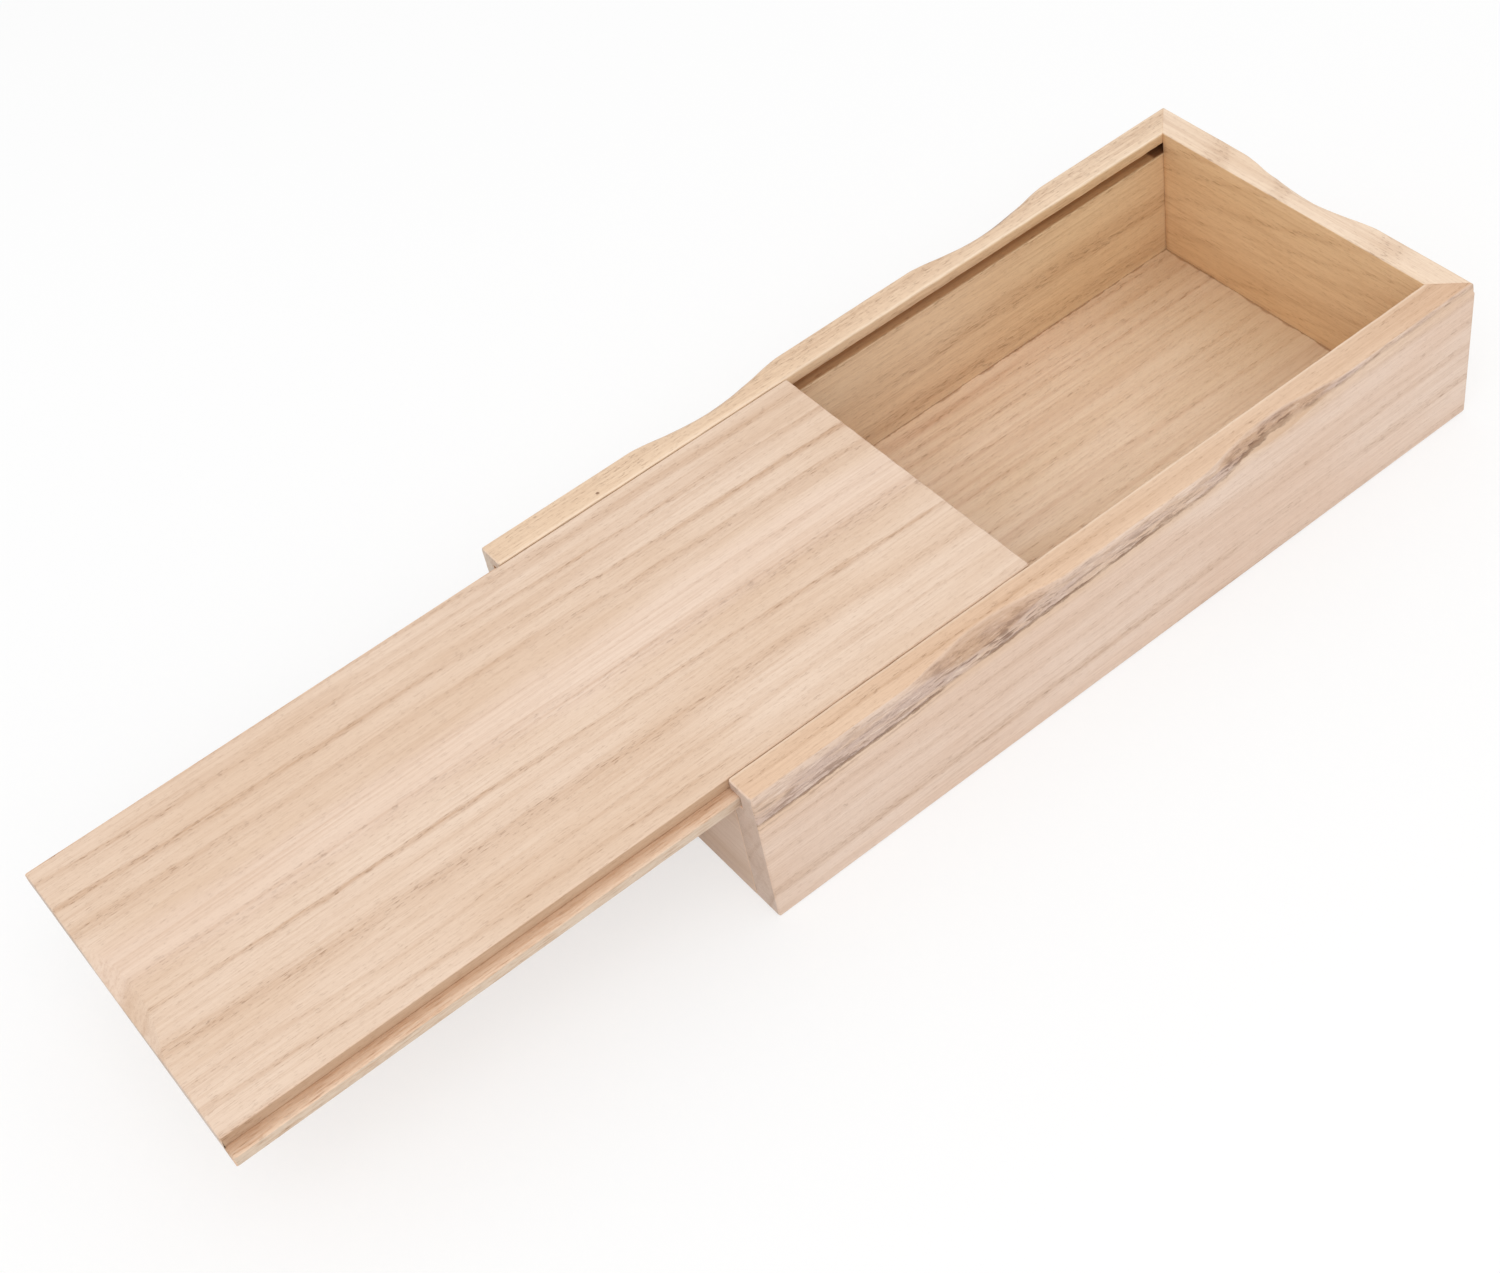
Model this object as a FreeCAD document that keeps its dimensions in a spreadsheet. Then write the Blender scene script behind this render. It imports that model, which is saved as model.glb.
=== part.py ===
import FreeCAD, Part
import math
import os
import re
import Sketcher

# Wooden box with a lid that slides in grooves, in millimetres.
# +X runs from the low end, where the lid goes in, to the far end wall. +Z is up.
# The origin is the centre of the box's underside.

DRIVING_DIMENSIONS = [
    ("box_length", 210.0, "outside length of the box, along X"),
    ("box_width", 100.0, "outside width of the box, along Y"),
    ("box_height", 40.0, "height of the rim above the table"),
    ("wall_thickness", 8.0, "thickness of all four walls"),
    ("bottom_thickness", 3.0, "thickness of the bottom board"),
    ("lip_thickness", 3.0, "wood left above each groove"),
    ("groove_height", 3.4, "height of the groove that the lid's tongue runs in"),
    ("groove_depth", 3.3, "how far the groove goes into the long wall"),
    ("tongue_play", 0.2, "gap above and below the lid's tongue"),
    ("side_play", 0.3, "gap at each side of the lid, at the rim and in the groove"),
    ("end_play", 0.3, "gap between the closed lid and the far end wall"),
    ("bevel_inset", 0.2, "how far the rough outer bevel narrows the rim"),
    ("bevel_drop_low_end", 8.0, "how far the bevel comes down the long walls at the low end"),
    ("bevel_drop_far_end", 3.2, "how far the bevel comes down the walls at the far end"),
    ("lead_in_width", 3.4, "width of the slope on top of the low end wall"),
    ("lead_in_drop", 1.0, "fall of the slope on top of the low end wall"),
    ("hollow_half_length", 25.0, "from a hollow's middle to the end of its shoulder"),
    ("hollow_inset", 3.8, "how far a hollow narrows the rim at its middle"),
    ("shoulder_radius", 45.0, "rounding between a hollow and the straight edge"),
    ("hollow_spacing", 84.0, "between the two hollows of a long wall"),
    ("eased_edge", 0.6, "rounding of the arrises that hands touch"),
    ("cut_margin", 2.0, "how far a cutting outline reaches past the wood"),
    ("lid_drawn_out", 120.0, "how far the lid is drawn out of the closed box"),
]

# Places that several boards share, written with the driving dimensions.
HALF_LENGTH = "(box_length / 2)"
HALF_WIDTH = "(box_width / 2)"
INNER_HALF_LENGTH = "(box_length / 2 - wall_thickness)"
INNER_HALF_WIDTH = "(box_width / 2 - wall_thickness)"
GROOVE_FLOOR = "(box_height - lip_thickness - groove_height)"
GROOVE_TOP = "(box_height - lip_thickness)"

# A hollow is cut square to a plane that leans at this angle over the outer top edge.
HOLLOW_LEAN = 45.0
HOLLOW_DEPTH = f"(hollow_inset * sin({HOLLOW_LEAN}))"
HOLLOW_RADIUS = (
    f"((hollow_half_length ^ 2 + {HOLLOW_DEPTH} ^ 2) / (2 * {HOLLOW_DEPTH}) - shoulder_radius)"
)


def add_sheet(document):
    """Keep the driving dimensions in a spreadsheet, one named cell each."""
    sheet = document.addObject("Spreadsheet::Sheet", "sizes")
    for row, (alias, value, meaning) in enumerate(DRIVING_DIMENSIONS, start=1):
        sheet.set(f"A{row}", str(value))
        sheet.setAlias(f"A{row}", alias)
        sheet.set(f"B{row}", meaning)
    document.recompute()
    return sheet


def bound(text):
    """Turn plain dimension names into references to the spreadsheet."""
    names = "|".join(alias for alias, _, _ in DRIVING_DIMENSIONS)
    return re.sub(rf"\b({names})\b", r"sizes.\1", text)


def amount(owner, text):
    """Work out an expression's present value."""
    return float(owner.evalExpression(bound(text)))


def origin_feature(body, role):
    """Find one of a body's own base planes or axes."""
    return next(item for item in body.Origin.OriginFeatures if item.Role == role)


def add_sketch(body, name, plane, lean=0.0, shift=None):
    """Add a sketch on a base plane, leaned about its own X axis or shifted along its normal."""
    sketch = body.newObject("Sketcher::SketchObject", name)
    sketch.AttachmentSupport = [(origin_feature(body, plane), "")]
    sketch.MapMode = "FlatFace"
    sketch.AttachmentOffset = FreeCAD.Placement(
        FreeCAD.Vector(0, 0, 0),
        FreeCAD.Rotation(FreeCAD.Vector(1, 0, 0), lean),
    )
    if shift is not None:
        sketch.setExpression("AttachmentOffset.Base.z", bound(shift))
    return sketch


def drive_point(sketch, geometry, point, across, up=None):
    """Hold one point of a sketch at one or two expressions, measured from the sketch's origin."""
    for kind, axis, text in (("DistanceX", -2, across), ("DistanceY", -1, up)):
        if text is None:
            continue
        value = amount(sketch, text)
        if abs(value) < 1e-9:
            sketch.addConstraint(Sketcher.Constraint("PointOnObject", geometry, point, axis))
            continue
        held = Sketcher.Constraint(kind, -1, 1, geometry, point, value)
        index = sketch.addConstraint(held)
        sketch.setExpression(f"Constraints[{index}]", bound(text))


def outline(body, name, plane, corners, shift=None):
    """Draw a closed outline of straight lines through corners given as expressions."""
    sketch = add_sketch(body, name, plane, shift=shift)
    places = [
        FreeCAD.Vector(amount(sketch, across), amount(sketch, up), 0)
        for across, up in corners
    ]
    count = len(places)
    for index, place in enumerate(places):
        sketch.addGeometry(Part.LineSegment(place, places[(index + 1) % count]))
    for index in range(count):
        following = (index + 1) % count
        sketch.addConstraint(Sketcher.Constraint("Coincident", index, 2, following, 1))
    for index, (across, up) in enumerate(corners):
        drive_point(sketch, index, 1, across, up)
    return sketch


def hollow_outline(body, name, plane, lean, middle, edge):
    """Draw a hollow: one wide arc between two rounded shoulders, closed outside the wood."""
    sketch = add_sketch(body, name, plane, lean=lean)
    middle_at = amount(sketch, middle)
    edge_at = amount(sketch, edge)
    reach = amount(sketch, "hollow_half_length")
    depth = amount(sketch, HOLLOW_DEPTH)
    shoulder = amount(sketch, "shoulder_radius")
    radius = amount(sketch, HOLLOW_RADIUS)
    margin = amount(sketch, "cut_margin")
    turn = math.asin(reach / (radius + shoulder))
    upward = math.pi / 2
    axis = FreeCAD.Vector(0, 0, 1)

    def arc(across, up, size, start, end):
        circle = Part.Circle(FreeCAD.Vector(across, up, 0), axis, size)
        return Part.ArcOfCircle(circle, start, end)

    def line(from_across, from_up, to_across, to_up):
        return Part.LineSegment(
            FreeCAD.Vector(from_across, from_up, 0),
            FreeCAD.Vector(to_across, to_up, 0),
        )

    left = middle_at - reach
    right = middle_at + reach
    left_arc = sketch.addGeometry(
        arc(left, edge_at - shoulder, shoulder, upward - turn, upward))
    wide_arc = sketch.addGeometry(
        arc(middle_at, edge_at - depth + radius, radius, -upward - turn, -upward + turn))
    right_arc = sketch.addGeometry(
        arc(right, edge_at - shoulder, shoulder, upward, upward + turn))
    right_side = sketch.addGeometry(line(right, edge_at, right, edge_at + margin))
    top_side = sketch.addGeometry(line(right, edge_at + margin, left, edge_at + margin))
    left_side = sketch.addGeometry(line(left, edge_at + margin, left, edge_at))

    joins = [
        ("Tangent", left_arc, 1, wide_arc, 1),
        ("Tangent", wide_arc, 2, right_arc, 2),
        ("Coincident", right_arc, 1, right_side, 1),
        ("Coincident", right_side, 2, top_side, 1),
        ("Coincident", top_side, 2, left_side, 1),
        ("Coincident", left_side, 2, left_arc, 2),
        ("Vertical", right_side),
        ("Vertical", left_side),
        ("Horizontal", top_side),
    ]
    for join in joins:
        sketch.addConstraint(Sketcher.Constraint(*join))
    shoulder_height = f"{edge} - shoulder_radius"
    drive_point(sketch, left_arc, 3, f"{middle} - hollow_half_length", shoulder_height)
    drive_point(sketch, right_arc, 3, f"{middle} + hollow_half_length", shoulder_height)
    drive_point(sketch, wide_arc, 3, middle, f"{edge} - {HOLLOW_DEPTH} + {HOLLOW_RADIUS}")
    drive_point(sketch, left_side, 2, f"{middle} - hollow_half_length", edge)
    drive_point(sketch, right_side, 1, f"{middle} + hollow_half_length")
    held = Sketcher.Constraint("DistanceY", right_side, 1, right_side, 2, margin)
    index = sketch.addConstraint(held)
    sketch.setExpression(f"Constraints[{index}]", bound("cut_margin"))
    return sketch


def pad(body, name, sketch, length, both_ways=False):
    """Grow a board from its outline."""
    feature = body.newObject("PartDesign::Pad", name)
    feature.Profile = sketch
    feature.SideType = "Symmetric" if both_ways else "One side"
    feature.setExpression("Length", bound(length))
    return feature


def cut_through(body, name, sketch):
    """Cut an outline right through the board, on both sides of the sketch."""
    feature = body.newObject("PartDesign::Pocket", name)
    feature.Profile = sketch
    feature.Type = "ThroughAll"
    feature.SideType = "Symmetric"
    return feature


def ease_edges(body, name, wanted):
    """Round every straight edge of the board so far that the test accepts."""
    FreeCAD.ActiveDocument.recompute()
    last = body.Tip
    names = []
    for index, edge in enumerate(last.Shape.Edges, start=1):
        if wanted(edge.Vertexes[0].Point, edge.Vertexes[-1].Point):
            names.append(f"Edge{index}")
    feature = body.newObject("PartDesign::Fillet", name)
    feature.Base = (last, names)
    feature.setExpression("Radius", bound("eased_edge"))
    return feature


def add_body(document, name):
    """Start a board as a body of its own."""
    body = document.addObject("PartDesign::Body", name)
    body.Label = name
    return body


def both_at(start, end, axis, place):
    """Say whether an edge lies at one place along an axis."""
    return math.isclose(start[axis], place, abs_tol=0.01) and math.isclose(
        end[axis], place, abs_tol=0.01)


def far_mitre(side):
    """Outline, in plan, of what the mitre takes off one long wall's far end."""
    inner = f"{side} * ({INNER_HALF_WIDTH} - cut_margin)"
    outer = f"{side} * ({HALF_WIDTH} + cut_margin)"
    return [
        (f"{INNER_HALF_LENGTH} - cut_margin", inner),
        (f"{HALF_LENGTH} + cut_margin", outer),
        (f"{HALF_LENGTH} + cut_margin", inner),
    ]


def bevel_long_wall(body, name, side):
    """Take off the outer top edge of a long wall, more of it at the low end than at the far end."""
    sections = []
    ends = (
        ("low_end", f"-{HALF_LENGTH}", "bevel_drop_low_end"),
        ("far_end", HALF_LENGTH, "bevel_drop_far_end"),
    )
    for end, place, drop in ends:
        corners = [
            (f"{side} * ({HALF_WIDTH} - bevel_inset)", "box_height"),
            (f"{side} * {HALF_WIDTH}", f"box_height - {drop}"),
            (f"{side} * ({HALF_WIDTH} + cut_margin)", f"box_height - {drop}"),
            (f"{side} * ({HALF_WIDTH} + cut_margin)", "box_height + cut_margin"),
            (f"{side} * ({HALF_WIDTH} - bevel_inset)", "box_height + cut_margin"),
        ]
        sections.append(outline(body, f"{name}_bevel_{end}", "YZ_Plane", corners, shift=place))
    bevel = body.newObject("PartDesign::SubtractiveLoft", f"{name}_bevel")
    bevel.Profile = sections[0]
    bevel.Sections = sections[1:]
    bevel.Ruled = True
    return bevel


def make_long_wall(document, name, side):
    """Long wall with the lid's groove, the outer bevel and two hollows; side is -1 or 1."""
    body = add_body(document, name)
    profile = [
        (f"{side} * {HALF_WIDTH}", "0"),
        (f"{side} * {HALF_WIDTH}", "box_height"),
        (f"{side} * {INNER_HALF_WIDTH}", "box_height"),
        (f"{side} * {INNER_HALF_WIDTH}", GROOVE_TOP),
        (f"{side} * ({INNER_HALF_WIDTH} + groove_depth)", GROOVE_TOP),
        (f"{side} * ({INNER_HALF_WIDTH} + groove_depth)", GROOVE_FLOOR),
        (f"{side} * {INNER_HALF_WIDTH}", GROOVE_FLOOR),
        (f"{side} * {INNER_HALF_WIDTH}", "0"),
    ]
    board = pad(body, f"{name}_board", outline(body, f"{name}_profile", "YZ_Plane", profile),
                "box_length", both_ways=True)
    body.Tip = board

    low_end = -amount(body, HALF_LENGTH)
    outer_face = side * amount(body, HALF_WIDTH)
    rim_edge = side * amount(body, INNER_HALF_WIDTH)
    rim = amount(body, "box_height")

    def touched(start, end):
        underside = both_at(start, end, 1, outer_face) and both_at(start, end, 2, 0)
        end_corner = both_at(start, end, 0, low_end) and both_at(start, end, 1, outer_face)
        lip = both_at(start, end, 1, rim_edge) and both_at(start, end, 2, rim)
        return underside or end_corner or lip

    body.Tip = ease_edges(body, f"{name}_eased", touched)
    body.Tip = bevel_long_wall(body, name, side)
    mitre = outline(body, f"{name}_mitre_plan", "XY_Plane", far_mitre(side))
    body.Tip = cut_through(body, f"{name}_mitre", mitre)

    edge = f"({HALF_WIDTH} + box_height) * sin({HOLLOW_LEAN})"
    first = hollow_outline(body, f"{name}_hollow_outline", "XZ_Plane", -side * HOLLOW_LEAN,
                           "-hollow_spacing / 2", edge)
    hollow = cut_through(body, f"{name}_hollow", first)
    pattern = body.newObject("PartDesign::LinearPattern", f"{name}_hollows")
    pattern.Originals = [hollow]
    pattern.Direction = (origin_feature(body, "X_Axis"), [""])
    pattern.setExpression("Length", bound("hollow_spacing"))
    pattern.Occurrences = 2
    body.Tip = pattern
    return body


def make_far_end_wall(document):
    """Full-height end wall, mitred into both long walls, with one hollow in its middle."""
    name = "far_end_wall"
    body = add_body(document, name)
    profile = [
        (INNER_HALF_LENGTH, "0"),
        (HALF_LENGTH, "0"),
        (HALF_LENGTH, "box_height - bevel_drop_far_end"),
        (f"{HALF_LENGTH} - bevel_inset", "box_height"),
        (INNER_HALF_LENGTH, "box_height"),
    ]
    board = pad(body, f"{name}_board", outline(body, f"{name}_profile", "XZ_Plane", profile),
                "box_width", both_ways=True)
    body.Tip = board
    outer_face = amount(body, HALF_LENGTH)
    inner_face = amount(body, INNER_HALF_LENGTH)
    rim = amount(body, "box_height")

    def touched(start, end):
        underside = both_at(start, end, 0, outer_face) and both_at(start, end, 2, 0)
        inside = both_at(start, end, 0, inner_face) and both_at(start, end, 2, rim)
        return underside or inside

    body.Tip = ease_edges(body, f"{name}_eased", touched)
    for side, place in ((-1, "front"), (1, "back")):
        plan = [
            (f"{INNER_HALF_LENGTH} - cut_margin", f"{side} * ({INNER_HALF_WIDTH} - cut_margin)"),
            (f"{HALF_LENGTH} + cut_margin", f"{side} * ({HALF_WIDTH} + cut_margin)"),
            (f"{INNER_HALF_LENGTH} - cut_margin", f"{side} * ({HALF_WIDTH} + cut_margin)"),
        ]
        mitre = outline(body, f"{name}_{place}_mitre_plan", "XY_Plane", plan)
        body.Tip = cut_through(body, f"{name}_{place}_mitre", mitre)
    edge = f"({HALF_LENGTH} + box_height) * sin({HOLLOW_LEAN})"
    middle = hollow_outline(body, f"{name}_hollow_outline", "YZ_Plane", HOLLOW_LEAN, "0", edge)
    body.Tip = cut_through(body, f"{name}_hollow", middle)
    return body


def make_low_end_wall(document):
    """End wall that stops level with the grooves' floors, so the lid slides over it."""
    name = "low_end_wall"
    body = add_body(document, name)
    profile = [
        (f"-{HALF_LENGTH}", "0"),
        (f"-{INNER_HALF_LENGTH}", "0"),
        (f"-{INNER_HALF_LENGTH}", GROOVE_FLOOR),
        (f"lead_in_width - {HALF_LENGTH}", GROOVE_FLOOR),
        (f"-{HALF_LENGTH}", f"{GROOVE_FLOOR} - lead_in_drop"),
    ]
    board = pad(body, f"{name}_board", outline(body, f"{name}_profile", "XZ_Plane", profile),
                f"2 * {INNER_HALF_WIDTH}", both_ways=True)
    body.Tip = board
    outer_face = -amount(body, HALF_LENGTH)
    slope_foot = amount(body, f"{GROOVE_FLOOR} - lead_in_drop")

    def touched(start, end):
        level = both_at(start, end, 2, 0) or both_at(start, end, 2, slope_foot)
        return both_at(start, end, 0, outer_face) and level

    body.Tip = ease_edges(body, f"{name}_eased", touched)
    return body


def make_bottom_board(document):
    """Bottom board, glued in flush between the four walls."""
    name = "bottom_board"
    body = add_body(document, name)
    plan = [
        (f"{x_side} * {INNER_HALF_LENGTH}", f"{y_side} * {INNER_HALF_WIDTH}")
        for x_side, y_side in ((-1, -1), (1, -1), (1, 1), (-1, 1))
    ]
    body.Tip = pad(body, f"{name}_board", outline(body, f"{name}_plan", "XY_Plane", plan),
                   "bottom_thickness")
    return body


def make_lid(document):
    """Lid of one board: rebated edges leave a tongue for the grooves, one end is hollowed."""
    name = "lid"
    body = add_body(document, name)
    tongue_edge = f"({INNER_HALF_WIDTH} + groove_depth - side_play)"
    top_edge = f"({INNER_HALF_WIDTH} - side_play)"
    underside = f"({GROOVE_FLOOR} + tongue_play)"
    shoulder = f"({GROOVE_TOP} - tongue_play)"
    profile = [
        (f"-{tongue_edge}", underside),
        (tongue_edge, underside),
        (tongue_edge, shoulder),
        (top_edge, shoulder),
        (top_edge, "box_height"),
        (f"-{top_edge}", "box_height"),
        (f"-{top_edge}", shoulder),
        (f"-{tongue_edge}", shoulder),
    ]
    section = outline(body, f"{name}_profile", "YZ_Plane", profile, shift=f"-{HALF_LENGTH}")
    body.Tip = pad(body, f"{name}_board", section, "box_length - wall_thickness - end_play")
    top = amount(body, "box_height")
    side_edge = amount(body, top_edge)
    far_end = amount(body, f"{INNER_HALF_LENGTH} - end_play")

    def touched(start, end):
        along = any(both_at(start, end, 1, side * side_edge) for side in (-1, 1))
        across = both_at(start, end, 0, far_end)
        return both_at(start, end, 2, top) and (along or across)

    body.Tip = ease_edges(body, f"{name}_eased", touched)
    edge = f"({HALF_LENGTH} + box_height) * sin({HOLLOW_LEAN})"
    middle = hollow_outline(body, f"{name}_hollow_outline", "YZ_Plane", -HOLLOW_LEAN, "0", edge)
    body.Tip = cut_through(body, f"{name}_hollow", middle)
    body.setExpression("Placement.Base.x", bound("-lid_drawn_out"))
    return body


def export_parts(document, bodies):
    """Test every object and write each board as its own STEP file."""
    document.recompute()
    for item in document.Objects:
        if "Invalid" in item.State or "Error" in item.State:
            raise ValueError(f"{item.Label} did not compute: {item.State}")
    os.makedirs("parts", exist_ok=True)
    for body in bodies:
        shape = body.Shape
        if shape.isNull() or not shape.isValid() or len(shape.Solids) != 1:
            raise ValueError(f"{body.Label} is not one valid solid")
        shape.exportStep(f"parts/{body.Label}.step")
        print(f"{body.Label}: {shape.Volume / 1000:.1f} cubic centimetres")


def main():
    """Build the box, board by board."""
    document = FreeCAD.newDocument("sliding_lid_box")
    add_sheet(document)
    bodies = [
        make_long_wall(document, "front_wall", -1),
        make_long_wall(document, "back_wall", 1),
        make_far_end_wall(document),
        make_low_end_wall(document),
        make_bottom_board(document),
        make_lid(document),
    ]
    export_parts(document, bodies)


main()
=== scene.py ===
import math
import bmesh
import bpy
from mathutils import Matrix, Vector, noise


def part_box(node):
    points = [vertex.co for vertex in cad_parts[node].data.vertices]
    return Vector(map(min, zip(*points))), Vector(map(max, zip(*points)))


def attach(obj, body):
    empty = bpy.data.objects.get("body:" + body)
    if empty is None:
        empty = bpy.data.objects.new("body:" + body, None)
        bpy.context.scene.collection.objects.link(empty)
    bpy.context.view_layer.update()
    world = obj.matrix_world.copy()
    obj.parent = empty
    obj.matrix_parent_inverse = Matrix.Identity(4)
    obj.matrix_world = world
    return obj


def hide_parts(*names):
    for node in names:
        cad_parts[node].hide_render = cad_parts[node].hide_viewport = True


# Looks of the sliding lid box, in metres, in the frame of the CAD model.
# +X runs from the low end to the far end wall, +Y from the front wall to the back
# wall and +Z up. Materials work in millimetres of the same frame.

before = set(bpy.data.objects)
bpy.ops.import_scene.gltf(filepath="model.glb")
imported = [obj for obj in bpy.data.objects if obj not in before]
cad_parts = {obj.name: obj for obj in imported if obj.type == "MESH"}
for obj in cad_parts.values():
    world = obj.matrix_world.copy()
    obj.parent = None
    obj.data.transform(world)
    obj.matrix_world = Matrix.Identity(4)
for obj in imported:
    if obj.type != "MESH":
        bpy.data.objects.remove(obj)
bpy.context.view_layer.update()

MM = 0.001

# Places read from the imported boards.
front_low, front_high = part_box("front_wall")
lid_low, lid_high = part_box("lid")
LOW_END = front_low.x
FAR_END = front_high.x
HALF_WIDTH = -front_low.y
INNER = -front_high.y
RIM = front_high.z
WALL = HALF_WIDTH - INNER
FAR_INNER = FAR_END - WALL
LOW_INNER = LOW_END + WALL
FLOOR_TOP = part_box("bottom_board")[1].z

# Sizes of the details cut into the boards, as in the CAD model.
LIP = 3.0 * MM
GROOVE_HEIGHT = 3.4 * MM
GROOVE_DEPTH = 3.3 * MM
TONGUE_PLAY = 0.2 * MM
SIDE_PLAY = 0.3 * MM
BEVEL_INSET = 0.2 * MM
BEVEL_DROP_LOW_END = 8.0 * MM
BEVEL_DROP_FAR_END = 3.2 * MM
LEAD_IN_WIDTH = 3.4 * MM
LEAD_IN_DROP = 1.0 * MM
HOLLOW_HALF_LENGTH = 25.0 * MM
HOLLOW_INSET = 3.8 * MM
HOLLOW_LEAN = math.radians(45)
SHOULDER_RADIUS = 45.0 * MM
HOLLOW_SPACING = 84.0 * MM
GROOVE_TOP = RIM - LIP
GROOVE_FLOOR = GROOVE_TOP - GROOVE_HEIGHT
GROOVE_MIDDLE = (GROOVE_TOP + GROOVE_FLOOR) / 2
TONGUE_TOP = GROOVE_TOP - TONGUE_PLAY
LID_TOP_EDGE = INNER - SIDE_PLAY

# How the arrises are eased and worn.
SOFT_EDGE = 0.6 * MM
RIM_EDGE = 1.1 * MM
HARD_EDGE = 0.25 * MM
LIP_EDGE = 0.35 * MM
SEAM = 0.08 * MM
LIP_WEAR = 0.08 * MM
SLOPE_WEAR = 0.25 * MM
LID_WEAR = 0.1 * MM

# Torn wood of the bevel: its depth, and how many fibres lie in a metre along and up it.
TORN_DEPTH = 0.14 * MM
FIBRES_ALONG = 90
FIBRES_UP = 1100

# Least depth of a hollow's foot below the rim, and of the bevel's foot below that.
LEAST_HOLLOW_FOOT = 2.6 * MM
LEAST_BEVEL_BELOW = 0.5 * MM

# How finely the boards are skinned.
STATION_STEP = 0.8 * MM
ARC_STEPS = 3
BEVEL_STEPS = 8
HOLLOW_STEPS = 4
SHARP_ANGLE = math.radians(38)

# Real height that a height of 1 in a material stands for.
GRAIN_DEPTH = 0.14 * MM


def hollow_inset(distance):
    """How far a hollow narrows the rim at a distance from its middle."""
    lean = math.sin(HOLLOW_LEAN)
    depth = HOLLOW_INSET * lean
    both_radii = (HOLLOW_HALF_LENGTH ** 2 + depth ** 2) / (2 * depth)
    radius = both_radii - SHOULDER_RADIUS
    turn_at = HOLLOW_HALF_LENGTH * radius / both_radii
    distance = abs(distance)
    if distance >= HOLLOW_HALF_LENGTH:
        return 0.0
    if distance < turn_at:
        sunk = depth - radius + math.sqrt(radius ** 2 - distance ** 2)
    else:
        rest = HOLLOW_HALF_LENGTH - distance
        sunk = SHOULDER_RADIUS - math.sqrt(SHOULDER_RADIUS ** 2 - rest ** 2)
    return sunk / lean


def ragged(place, seed, bumps_per_metre=150.0):
    """Small uneven number, from about -1 to 1, for worn and torn edges."""
    return noise.noise(Vector((place * bumps_per_metre, seed, 0.0))) * 1.6


def skin_outline(corners):
    """Turn (across, up, rounding, parts of the run after it) corners into a point list."""
    arcs = []
    for index, (across, up, rounding, _) in enumerate(corners):
        here = Vector((across, up))
        before = Vector(corners[index - 1][:2]) - here
        after = Vector(corners[(index + 1) % len(corners)][:2]) - here
        reach = min(rounding, before.length * 0.45, after.length * 0.45)
        start = here + before.normalized() * reach
        end = here + after.normalized() * reach
        steps = ARC_STEPS if rounding > 0 else 0
        arcs.append([
            start.lerp(here, step / steps).lerp(here.lerp(end, step / steps), step / steps)
            for step in range(steps + 1)
        ] if steps else [here])
    points = []
    for index, arc in enumerate(arcs):
        points += arc
        parts = corners[index][3]
        following = arcs[(index + 1) % len(arcs)][0]
        points += [arc[-1].lerp(following, part / parts) for part in range(1, parts)]
    return points


def drawn_in(corners, amount):
    """Move the sides between corners inward by a small amount, to ease a board's end."""
    points = [Vector(corner[:2]) for corner in corners]
    doubled_area = sum(points[index - 1].cross(point) for index, point in enumerate(points))
    inward = []
    for index, point in enumerate(points):
        side = (points[(index + 1) % len(points)] - point).normalized()
        inward.append(Vector((-side.y, side.x)) * math.copysign(1.0, doubled_area))
    moved = []
    for index, point in enumerate(points):
        before = inward[index - 1]
        after = inward[index]
        corner = point + (before + after) * amount / (1 + before.dot(after))
        moved.append((corner.x, corner.y, *corners[index][2:]))
    return moved


def loft(name, stations):
    """Skin a row of closed outlines, each a list of points in space, and cap both ends."""
    count = len(stations[0])
    vertices = [tuple(point) for station in stations for point in station]
    faces = [tuple(range(count)), tuple(range(len(vertices) - count, len(vertices)))]
    for start in range(0, len(vertices) - count, count):
        for index in range(count):
            following = (index + 1) % count
            faces.append((start + index, start + following,
                          start + count + following, start + count + index))
    mesh = bpy.data.meshes.new(name)
    mesh.from_pydata(vertices, [], faces)
    work = bmesh.new()
    work.from_mesh(mesh)
    bmesh.ops.recalc_face_normals(work, faces=work.faces)
    work.to_mesh(mesh)
    work.free()
    mesh.polygons.foreach_set("use_smooth", [True] * len(mesh.polygons))
    mesh.set_sharp_from_angle(angle=SHARP_ANGLE)
    piece = bpy.data.objects.new(name, mesh)
    bpy.context.scene.collection.objects.link(piece)
    return piece


def spaced(start, end, ease):
    """Evenly spaced places along a board, with one more at the eased arris of each end."""
    count = max(2, round((end - start) / STATION_STEP))
    inner = [start + (end - start) * index / count for index in range(2, count - 1)]
    return [start, start + ease] + inner + [end - ease, end]


def outer_top_edge(outer, drop, hollow):
    """Outer top of a wall as corners: bevel foot, foot of the hollow, and rim arris."""
    hollow_foot = max(hollow, LEAST_HOLLOW_FOOT)
    bevel_foot = max(drop, hollow_foot + LEAST_BEVEL_BELOW)
    return [
        (outer, RIM - bevel_foot, 0.0, BEVEL_STEPS),
        (outer - BEVEL_INSET, RIM - hollow_foot, 2 * SOFT_EDGE, HOLLOW_STEPS),
        (outer - max(hollow, BEVEL_INSET), RIM, RIM_EDGE, 1),
    ]


def torn(points, outer, drop, place, seed):
    """Tear the outer face a little within the bevel."""
    moved = []
    for point in points:
        into_band = min(1.0, max(0.0, (point.y - RIM + drop) / MM))
        below_rim = min(1.0, (RIM - point.y) / MM)
        near_face = point.x > outer - HOLLOW_INSET - MM
        fibre = noise.noise(Vector((place * FIBRES_ALONG, point.y * FIBRES_UP, seed)))
        depth = TORN_DEPTH * into_band * below_rim * max(0.0, 0.5 + fibre) * near_face
        moved.append(Vector((point.x - depth, point.y)))
    return moved


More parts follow.
